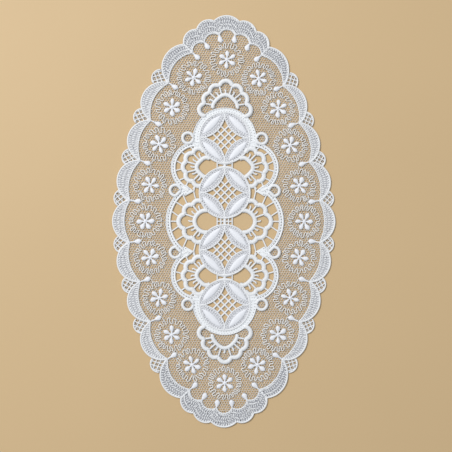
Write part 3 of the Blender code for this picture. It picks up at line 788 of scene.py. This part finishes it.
parts = []
for x, y, turn in flower_places():
    for petal in range(PETALS):
        angle = turn + petal * 360 / PETALS + between(chooser, PETAL_TURN)
        reach = FLOWER_R * between(chooser, PETAL_REACH)
        line = [polar((x, y), PETAL_ROOT, angle), polar((x, y), reach, angle)]
        width = PETAL_WIDTH * between(chooser, PETAL_FULLNESS)
        top = PETAL_HEIGHTS[1] + between(chooser, PETAL_LIFT)
        parts.append(satin(line, width, PETAL_HEIGHTS[0], top, pitch=FINE_PITCH,
                           swell=petal_shape))
    line = [(x - KNOT_WIDTH / 2, y), (x + KNOT_WIDTH / 2, y)]
    parts.append(satin(line, KNOT_WIDTH, *PETAL_HEIGHTS, pitch=KNOT_PITCH))
flowers = sewn("flowers", (parts, satin_thread))
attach(flowers, "root")

# The meanders. Round every flower runs one line of small running stitches that winds in and out
# in narrow fingers, worked on the net in a single thinner thread.
MEANDER_R = 13.8
MEANDER_REACH = 2.6
MEANDER_FINGERS = 19
MEANDER_STEPS = 16
MEANDER_SPREAD = (0.75, 1.25)
MEANDER_DEPTH = (0.62, 1.17)
MEANDER_LEAN = (-0.25, 0.25)
MEANDER_BULGE = 0.10
MEANDER_THREAD = (0.92, 0.7, 1.6)
MEANDER_STITCH = 1.7
MEANDER_BEAD = 0.20
RUNNING_THREAD = (0.62, 0.7, 1.3)
RUNNING_STITCH = 1.8
RUNNING_REACH = 14.0
RUNNING_BEND = 0.8
MEANDER_COLOUR = (0.93, 0.925, 0.92)


def meander(x, y, turn, chooser):
    """A closed winding line round a flower, its fingers of uneven length."""
    fingers = MEANDER_FINGERS + int(chooser.integers(-1, 2))
    widths = between(chooser, MEANDER_SPREAD, fingers)
    starts = np.concatenate([[0], np.cumsum(widths)]) / widths.sum()
    out, back = (MEANDER_REACH * between(chooser, MEANDER_DEPTH, fingers) for _ in range(2))
    leans = between(chooser, MEANDER_LEAN, fingers)
    line = []
    for finger in range(fingers):
        for step in range(MEANDER_STEPS):
            wave = step / MEANDER_STEPS
            swing = math.sin(2 * math.pi * wave)
            reach = out[finger] if swing > 0 else back[finger]
            share = wave - MEANDER_BULGE * math.sin(4 * math.pi * wave) + leans[finger] * swing
            share = starts[finger] + (starts[finger + 1] - starts[finger]) * share
            line.append(polar((x, y), MEANDER_R + reach * swing, turn + 360 * share))
    return line


meander_thread = thread_finish("meander_thread", MEANDER_COLOUR, shade_share=0.92,
                               roughness=0.6, thread_mm=0.5, fleck_mm=2.0, bump_mm=0.05)
parts = []
for x, y, turn in flower_places():
    parts.append(satin(meander(x, y, turn, chooser), *MEANDER_THREAD, closed=True,
                       pitch=MEANDER_STITCH, sides=3, ridge=MEANDER_BEAD))
for x, y, direction in BUDS[:4]:
    tip = polar((x, y), BUD_LENGTH / 2, direction)
    for flower in FLOWERS:
        gap = math.dist(tip, flower[:2])
        if gap < MEANDER_R + RUNNING_REACH:
            foot = polar(flower[:2], MEANDER_R + 1, angle_of(flower[:2], tip))
            bend = ((tip[0] + foot[0]) / 2 - RUNNING_BEND, (tip[1] + foot[1]) / 2)
            for sx, sy in QUARTERS:
                parts.append(satin(mirrored([tip, bend, foot], sx, sy), *RUNNING_THREAD,
                                   pitch=RUNNING_STITCH, sides=3))
meanders = sewn("meanders", (parts, meander_thread))
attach(meanders, "root")

# The guipure's stitched ground. Close stitching worked on a backing that is washed away: the
# leaves of the medallions, the rings round the end medallions, the fans' bands and the corners.
MEDALLION_Y = (27.9, 81.4)
MEDALLIONS = [(0, y * sy) for sy in (1, -1) for y in MEDALLION_Y]
RING_R = 25.35
RING_INSET = 0.8
LEAF_EDGE = 0.4
LEAF_TIP = 2
END_RING_Y = 79.6
END_RING_R = 31.5
END_RING_REACH = 22
END_BORE_REACH = 26
RING_BORE_INSET = 0.6
BAND_INSET = 0.5
LEAF_GROUND = (0.0, 1.35)
RING_GROUND = (0.0, 1.45)
BAND_GROUND = (0.0, 1.40)
GROUND_CELL = (1.05, 1.35)
BAND_CELL = (1.0, 1.25)
LEAF_STITCH = (1.35, 0.9, 1.65)
LEAF_STITCH_SPACING = 2.3
LEAF_STITCH_LENGTH = 2.3
LEAF_STITCH_LEAN = 1.1
# The leaves' ground is grey from painted shade: its white thread is darkened to stand in for the
# shade in the pinholes and between the stitches.
GROUND_COLOUR = (0.59, 0.60, 0.645)
BAND_COLOUR = (0.89, 0.915, 0.95)
GUIPURE_STITCH_COLOUR = (0.90, 0.91, 0.94)
FANS = {
    "end": {
        "band": (27.3, 52.3), "band_r": 25.4, "band_w": 5.0, "band_from": -70, "band_to": 96,
        "eye": (17.9, 52.5), "eye_r": 7.3,
        "hub": (21.7, 52.7),
        # angle, reach from the hub, hole radius
        "loops": ((-74, 13.6, 2.9), (-36, 13.6, 3.1), (0, 13.6, 3.2), (36, 13.6, 3.1),
                  (74, 13.6, 2.9)),
        "bars": (-80, -60, -36, -9, 18, 45, 72),
    },
    "middle": {
        "band": (18.7, 0.0), "band_r": 39.0, "band_w": 5.2, "band_from": -52, "band_to": 52,
        "eye": (18.9, 0.0), "eye_r": 8.4,
        "hub": (23.2, 0.0),
        "loops": ((-80, 15.1, 3.0), (-44, 14.6, 3.6), (0, 14.6, 4.9), (44, 14.6, 3.6),
                  (80, 15.1, 3.0)),
        "bars": (-50, -33, -16.5, 0, 16.5, 33, 50),
    },
}
CORNER = ((29.9, 29.2), (37.6, 35.6), (44.0, 32.8), (38.8, 24.4))


def leaf_edges(middle, cx, cy):
    """The ring side and the lattice side of a leaf, both from the same tip."""
    far = (cx * RING_R, middle[1] + cy * RING_R)
    first = {(1, 1): 0, (-1, 1): 90, (-1, -1): 180, (1, -1): 270}[(cx, cy)]
    outer = arc(middle, RING_R - RING_INSET, first + LEAF_TIP, first + 90 - LEAF_TIP)
    inner = arc(far, RING_R + LEAF_EDGE, first + 270 - 2 * LEAF_TIP, first + 180 + 2 * LEAF_TIP)
    return outer, inner, first


def fan_places():
    """Each side fan's kind and the signs that mirror it to its place."""
    return [("end", sx, sy) for sx, sy in QUARTERS] + [("middle", 1, 1), ("middle", -1, 1)]


def zigzag(column, row, rows):
    """Two staggered lines of holes along each side."""
    in_from_edge = np.minimum(row, rows - 1 - row)
    return (((in_from_edge == 1) & (column % 4 == 0)) | ((in_from_edge == 2) & (column % 4 == 2)))


def dotted(column, row, rows):
    """One line of holes along each side, set off against each other."""
    return (((row == 1) & (column % 3 == 0))
            | ((row == rows - 2) & (column % 3 == 1)))


leaf_parts, band_parts, stitches = [], [], []
for middle in MEDALLIONS:
    for cx, cy in QUARTERS:
        outer, inner, _first = leaf_edges(middle, cx, cy)
        leaf_parts.append(filling(outer, inner, GROUND_CELL, LEAF_GROUND, zigzag, chooser))
        stitches += short_stitches(outer, inner, LEAF_STITCH, LEAF_STITCH_SPACING,
                                   LEAF_STITCH_LENGTH, LEAF_STITCH_LEAN, chooser)
bands = []
for sy in (1, -1):
    ring = arc((0, END_RING_Y), END_RING_R - BAND_INSET, -END_RING_REACH, 180 + END_RING_REACH,
               steps=90)
    bore = arc((0, MEDALLION_Y[1]), RING_R - RING_BORE_INSET, -END_BORE_REACH,
               180 + END_BORE_REACH, steps=90)
    bands.append((mirrored(ring, 1, sy), mirrored(bore, 1, sy), RING_GROUND))
for kind, sx, sy in fan_places():
    shape = FANS[kind]
    rim, bore = (arc(shape["band"], radius, shape["band_from"], shape["band_to"])
                 for radius in (shape["band_r"] - BAND_INSET,
                                shape["band_r"] - shape["band_w"] + BAND_INSET))
    bands.append((mirrored(rim, sx, sy), mirrored(bore, sx, sy), BAND_GROUND))
for sx, sy in QUARTERS:
    a, b, c, d = mirrored(CORNER, sx, sy)
    bands.append(([a, b], [d, c], BAND_GROUND))
for edge, bore, heights in bands:
    band_parts.append(filling(edge, bore, BAND_CELL, heights, dotted, chooser))
# The leaves' ground finish carries painted shade in its grey.
ground_thread = thread_finish("guipure_ground_thread", GROUND_COLOUR, shade_share=0.84,
                              roughness=0.7, thread_mm=0.75, fleck_mm=1.5, bump_mm=0.10)
band_thread = thread_finish("guipure_band_thread", BAND_COLOUR, shade_share=0.90,
                            roughness=0.65, thread_mm=0.6, fleck_mm=1.5, bump_mm=0.08)
guipure_thread = thread_finish("guipure_stitch_thread", GUIPURE_STITCH_COLOUR, shade_share=0.9,
                               roughness=0.6, thread_mm=0.45, fleck_mm=1.6, bump_mm=0.06)
guipure_ground = sewn("guipure_ground", (leaf_parts, ground_thread), (band_parts, band_thread),
                      (stitches, guipure_thread))
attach(guipure_ground, "root")
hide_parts("guipure_centre")

# The leaves' cores. Each leaf carries one long padded lens of smooth satin stitch, the brightest
# and highest part of a medallion.
CORE_LENGTH = 24.5
CORE_WIDTH = 7.2
CORE_HEIGHTS = (1.0, 2.4)
CORE_SIDES = 7
CORE_TIP = 0.02
CORE_POINTEDNESS = 0.85


def lens_shape(share):
    """The width of a core, which comes to a point at both ends."""
    return np.clip(1 - (2 * share - 1) ** 2, CORE_TIP, 1) ** CORE_POINTEDNESS


parts = []
for middle in MEDALLIONS:
    for cx, cy in QUARTERS:
        _outer, _inner, first = leaf_edges(middle, cx, cy)
        centre = (cx * RING_R / 2, middle[1] + cy * RING_R / 2)
        line = [polar(centre, CORE_LENGTH / 2, first + turn) for turn in (135, -45)]
        parts.append(satin(line, CORE_WIDTH, *CORE_HEIGHTS, swell=lens_shape, sides=CORE_SIDES))
leaf_cores = sewn("leaf_cores", (parts, satin_thread))
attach(leaf_cores, "root")

# The panel's cords. Padded satin stitch round the medallions and leaves, along both edges of the
# rings and bands, and in the arches and scalloped loops of the side fans.
RING_CORD = (1.8, 0.0, 2.1)
LEAF_CORD = (1.45, 0.0, 1.95)
BAND_CORD = (1.5, 0.0, 1.90)
ARCH_CORD = (4.5, 0.0, 2.05)
SCALLOP_CORD = (4.8, 0.0, 1.95)
LEG_CORD = (2.0, 0.0, 1.75)
RING_CORD_INSET = 0.75
END_CORD_INSET = 0.85
END_CORD_REACH = 9
CORD_END_INSET = 1.0
LAST_LOOP_TURN = 92
ARCH_TURN = 112
ARCH_SPOTS = 97
ARCH_DENTS = {"end": 0.10, "middle": 0.03, "over": 0.08}


def meet(c1, r1, c2, r2, away):
    """The crossing of two circles that lies farther from the point away."""
    dx, dy = c2[0] - c1[0], c2[1] - c1[1]
    gap = math.hypot(dx, dy)
    reach = (gap * gap + r1 * r1 - r2 * r2) / (2 * gap)
    side = math.sqrt(max(0.0, r1 * r1 - reach * reach))
    foot = (c1[0] + dx * reach / gap, c1[1] + dy * reach / gap)
    both = [(foot[0] - s * dy * side / gap, foot[1] + s * dx * side / gap) for s in (1, -1)]
    return max(both, key=lambda p: math.hypot(p[0] - away[0], p[1] - away[1]))


def loop_lines(hub, rows, cord_width, arch_centre, arch_r):
    """The scallops round a row of loop holes, and the legs between them."""
    centres = [polar(hub, reach, angle) for angle, reach, _hole in rows]
    radii = [hole + cord_width / 2 for _angle, _reach, hole in rows]
    crossings = [meet(centres[i], radii[i], centres[i + 1], radii[i + 1], hub)
                 for i in range(len(rows) - 1)]
    scallops = []
    for i, (angle, _reach, _hole) in enumerate(rows):
        start = angle_of(centres[i], crossings[i - 1]) if i else angle - LAST_LOOP_TURN
        end = angle_of(centres[i], crossings[i]) if i < len(rows) - 1 else angle + LAST_LOOP_TURN
        while end < start:
            end += 360
        scallops.append(arc(centres[i], radii[i], start, end, steps=24))
    legs = [[crossing, polar(arch_centre, arch_r, angle_of(arch_centre, crossing))]
            for crossing in crossings]
    return scallops, legs


def pointed_arch(kind, centre, radius, start, end):
    """A fan's arch, drawn in between its crown and its feet."""
    return [polar(centre, radius * (1 - ARCH_DENTS[kind] * math.sin(math.radians(2 * turn)) ** 2),
                  turn) for turn in np.linspace(start, end, ARCH_SPOTS)]


def outside_rings(line):
    """The part of a line that lies outside every medallion."""
    spots = evenly(line, ARCH_SPOTS)
    reach = np.min([np.hypot(*(spots - middle).T) for middle in MEDALLIONS], axis=0)
    return [tuple(spot) for spot in spots[reach > RING_R - CORD_END_INSET]]


def cords(lines, cord, sx=1, sy=1, **more):
    """Satin stitch along each of these lines, mirrored to its place."""
    return [satin(mirrored(line, sx, sy), *cord, **more) for line in lines]


parts = []
for sy in (1, -1):
    for middle_y in MEDALLION_Y:
        ring = arc((0, middle_y), RING_R - RING_CORD_INSET, 0, 360, steps=120)[:-1]
        parts += cords([ring], RING_CORD, 1, sy, closed=True)
        for cx, cy in QUARTERS:
            _outer, inner, _first = leaf_edges((0, middle_y * sy), cx, cy)
            parts += cords([inner], LEAF_CORD)
    rim = arc((0, END_RING_Y), END_RING_R - END_CORD_INSET, -END_CORD_REACH,
              180 + END_CORD_REACH, steps=120)
    parts += cords([rim], BAND_CORD, 1, sy)
for kind, sx, sy in fan_places():
    shape = FANS[kind]
    edges = (shape["band_r"] - BAND_CORD[0] / 2,
             shape["band_r"] - shape["band_w"] + BAND_CORD[0] / 2)
    parts += cords([arc(shape["band"], radius, shape["band_from"], shape["band_to"], steps=90)
                    for radius in edges], BAND_CORD, sx, sy)
    arch_r = shape["eye_r"] + ARCH_CORD[0] / 2
    arch = outside_rings(pointed_arch(kind, shape["eye"], arch_r, -ARCH_TURN, ARCH_TURN))
    parts += cords([arch], ARCH_CORD, sx, sy, blunt=False)
    scallops, legs = loop_lines(shape["hub"], shape["loops"], SCALLOP_CORD[0], shape["eye"],
                                arch_r)
    parts += cords(map(outside_rings, scallops), SCALLOP_CORD, sx, sy, blunt=False)
    parts += cords(legs, LEG_CORD, sx, sy)
panel_cords = sewn("panel_cords", (parts, cord_thread))
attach(panel_cords, "root")

# The panel's bars. Thin buttonholed bars: the crossed lattice inside every medallion, the ties
# between medallions, the spokes of the fans, and the little tongue in every loop.
LATTICE_PITCH = 5.4
LATTICE_REACH = 1.2
LATTICE_BAR = (1.8, 0.1, 1.35)
MIDDLE_TIES = (0.0, 3.7, 7.3)
OUTER_TIES = (0.0, 7.3)
TIE_BAR = (1.5, 0.1, 1.35)
CENTRE_TIE = (3.0, 0.1, 1.6)
TIE_KNOT = (4.2, 0.1, 1.9)
TIE_KNOT_REACH = 6.5
SPOKE_BAR = (1.55, 0.1, 1.35)
TONGUE = (1.8, 0.1, 1.6)
TONGUE_LENGTH = 3.6
TONGUE_BEND = 0.6
TONGUE_HOOK = 1.1
SPOKE_INSET = 1.0
KNOT_TAPER = 0.55
CORNER_BAR = ((28.3, 37.2), (30.2, 29.2), (28.3, 20.9))


def bar_foot(shape, outside):
    """Where a spoke from the band meets the scalloped cord of the nearest loop."""
    near = []
    for turn, reach, hole in shape["loops"]:
        centre = polar(shape["hub"], reach, turn)
        rim = hole + SCALLOP_CORD[0] / 2
        near.append((math.dist(outside, centre) - rim, centre, rim))
    _gap, centre, rim = min(near)
    return polar(centre, rim, angle_of(centre, outside))


def knot_shape(share):
    """The width of a tie's knot, broadest in the middle."""
    return 1 - KNOT_TAPER * np.abs(2 * share - 1)


def tongue(centre, arch_r, way):
    """A short bar that stands out from an arch into a loop and hooks a little to one side."""
    edge = arch_r + ARCH_CORD[0] / 2
    base, middle, tip = (polar(centre, radius, way) for radius in
                         (arch_r, edge + TONGUE_LENGTH * TONGUE_BEND, edge + TONGUE_LENGTH))
    return [base, middle, polar(tip, TONGUE_HOOK, way + 90)]


parts = []
for middle in MEDALLIONS:
    for turn in (45, 135):
        for step in (-1, 0, 1):
            foot = polar(middle, step * LATTICE_PITCH, turn + 90)
            half = RING_R * (math.sqrt(2) - 1) + abs(step) * LATTICE_REACH
            parts += cords([[polar(foot, -half, turn), polar(foot, half, turn)]], LATTICE_BAR)
low, high = MEDALLION_Y
for y, half, signs, places in (((low + high) / 2, (high - low) / 2, (1, -1), OUTER_TIES),
                               (0, low, (1,), MIDDLE_TIES)):
    for x in places:
        reach = half - math.sqrt((RING_R - RING_INSET) ** 2 - x * x)
        for cx in (1, -1) if x else (1,):
            for sy in signs:
                parts += cords([[(x, y - reach), (x, y + reach)]], TIE_BAR if x else CENTRE_TIE,
                               cx, sy, blunt=False)
    for ring_y in (low, high) if y else ():
        edge = ring_y + math.copysign(RING_R - RING_INSET, y - ring_y)
        for sy in signs:
            parts += cords([[(-TIE_KNOT_REACH, edge), (TIE_KNOT_REACH, edge)]], TIE_KNOT, 1, sy,
                           swell=knot_shape)
parts += cords([[(-MIDDLE_TIES[-1], 0), (MIDDLE_TIES[-1], 0)]], TIE_BAR)
for kind, sx, sy in fan_places():
    shape = FANS[kind]
    arch_r = shape["eye_r"] + ARCH_CORD[0] / 2
    for angle in shape["bars"]:
        outside = polar(shape["band"], shape["band_r"] - shape["band_w"] + SPOKE_INSET, angle)
        parts += cords([[outside, bar_foot(shape, outside)]], SPOKE_BAR, sx, sy, blunt=False)
    for angle, reach, _hole in shape["loops"]:
        way = angle_of(shape["eye"], polar(shape["hub"], reach, angle))
        parts += cords([tongue(shape["eye"], arch_r, way)], TONGUE, sx, sy)
for sx, sy in QUARTERS:
    parts += cords([CORNER_BAR], SPOKE_BAR, sx, sy)
panel_bars = sewn("panel_bars", (parts, cord_thread))
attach(panel_bars, "root")

# The end fans and the ears. Thick padded satin that lies on top of the net, outside the panel's
# edge: one fan of seven loops at each end, and eight small rings down the sides.
EARS = ((35.9, 80.8), (48.1, 30.1))
EAR_HOLE_R = 3.5
EAR_CORD = (3.2, 0.9, 2.6)
EAR_FOOT = -0.9
END_FAN_HUB = (0.0, 111.2)
END_FAN_EYE_R = 10.0
END_FAN_LOOPS = ((-8, 19.6, 3.6), (26, 17.4, 3.5), (58, 18.2, 3.5), (90, 19.6, 3.9),
                 (122, 18.2, 3.5), (154, 17.4, 3.5), (188, 19.6, 3.6))
OVER_ARCH = (4.0, 0.9, 2.7)
OVER_SCALLOP = (4.5, 0.9, 2.75)
OVER_LEG = (1.8, 0.9, 2.3)
OVER_TONGUE = (1.8, 0.9, 2.1)
OVER_TONGUE_INSET = 0.5

arch_r = END_FAN_EYE_R + OVER_ARCH[0] / 2
first, last = END_FAN_LOOPS[0][0], END_FAN_LOOPS[-1][0]
parts = []
for sy in (1, -1):
    parts += cords([pointed_arch("over", END_FAN_HUB, arch_r, first, last)], OVER_ARCH, 1, sy)
    scallops, legs = loop_lines(END_FAN_HUB, END_FAN_LOOPS, OVER_SCALLOP[0], END_FAN_HUB, arch_r)
    parts += cords(scallops, OVER_SCALLOP, 1, sy)
    parts += cords(legs, OVER_LEG, 1, sy)
    for angle, _reach, _hole in END_FAN_LOOPS[1:-1]:
        line = tongue(END_FAN_HUB, arch_r - OVER_TONGUE_INSET, angle)
        parts += cords([line], OVER_TONGUE, 1, sy)
for sx, sy in QUARTERS:
    for ear in EARS:
        rim = np.array(arc(ear, EAR_HOLE_R + EAR_CORD[0] / 2, -180, 180, steps=96))
        clear = np.min([np.hypot(rim[:, 0] - x, rim[:, 1] - y) - radius
                        for x, y, radius in PANEL_DISCS], axis=0) > EAR_FOOT
        parts += cords([[tuple(spot) for spot in rim[clear]]], EAR_CORD, sx, sy)
end_fans_and_ears = sewn("end_fans_and_ears", (parts, cord_thread))
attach(end_fans_and_ears, "root")
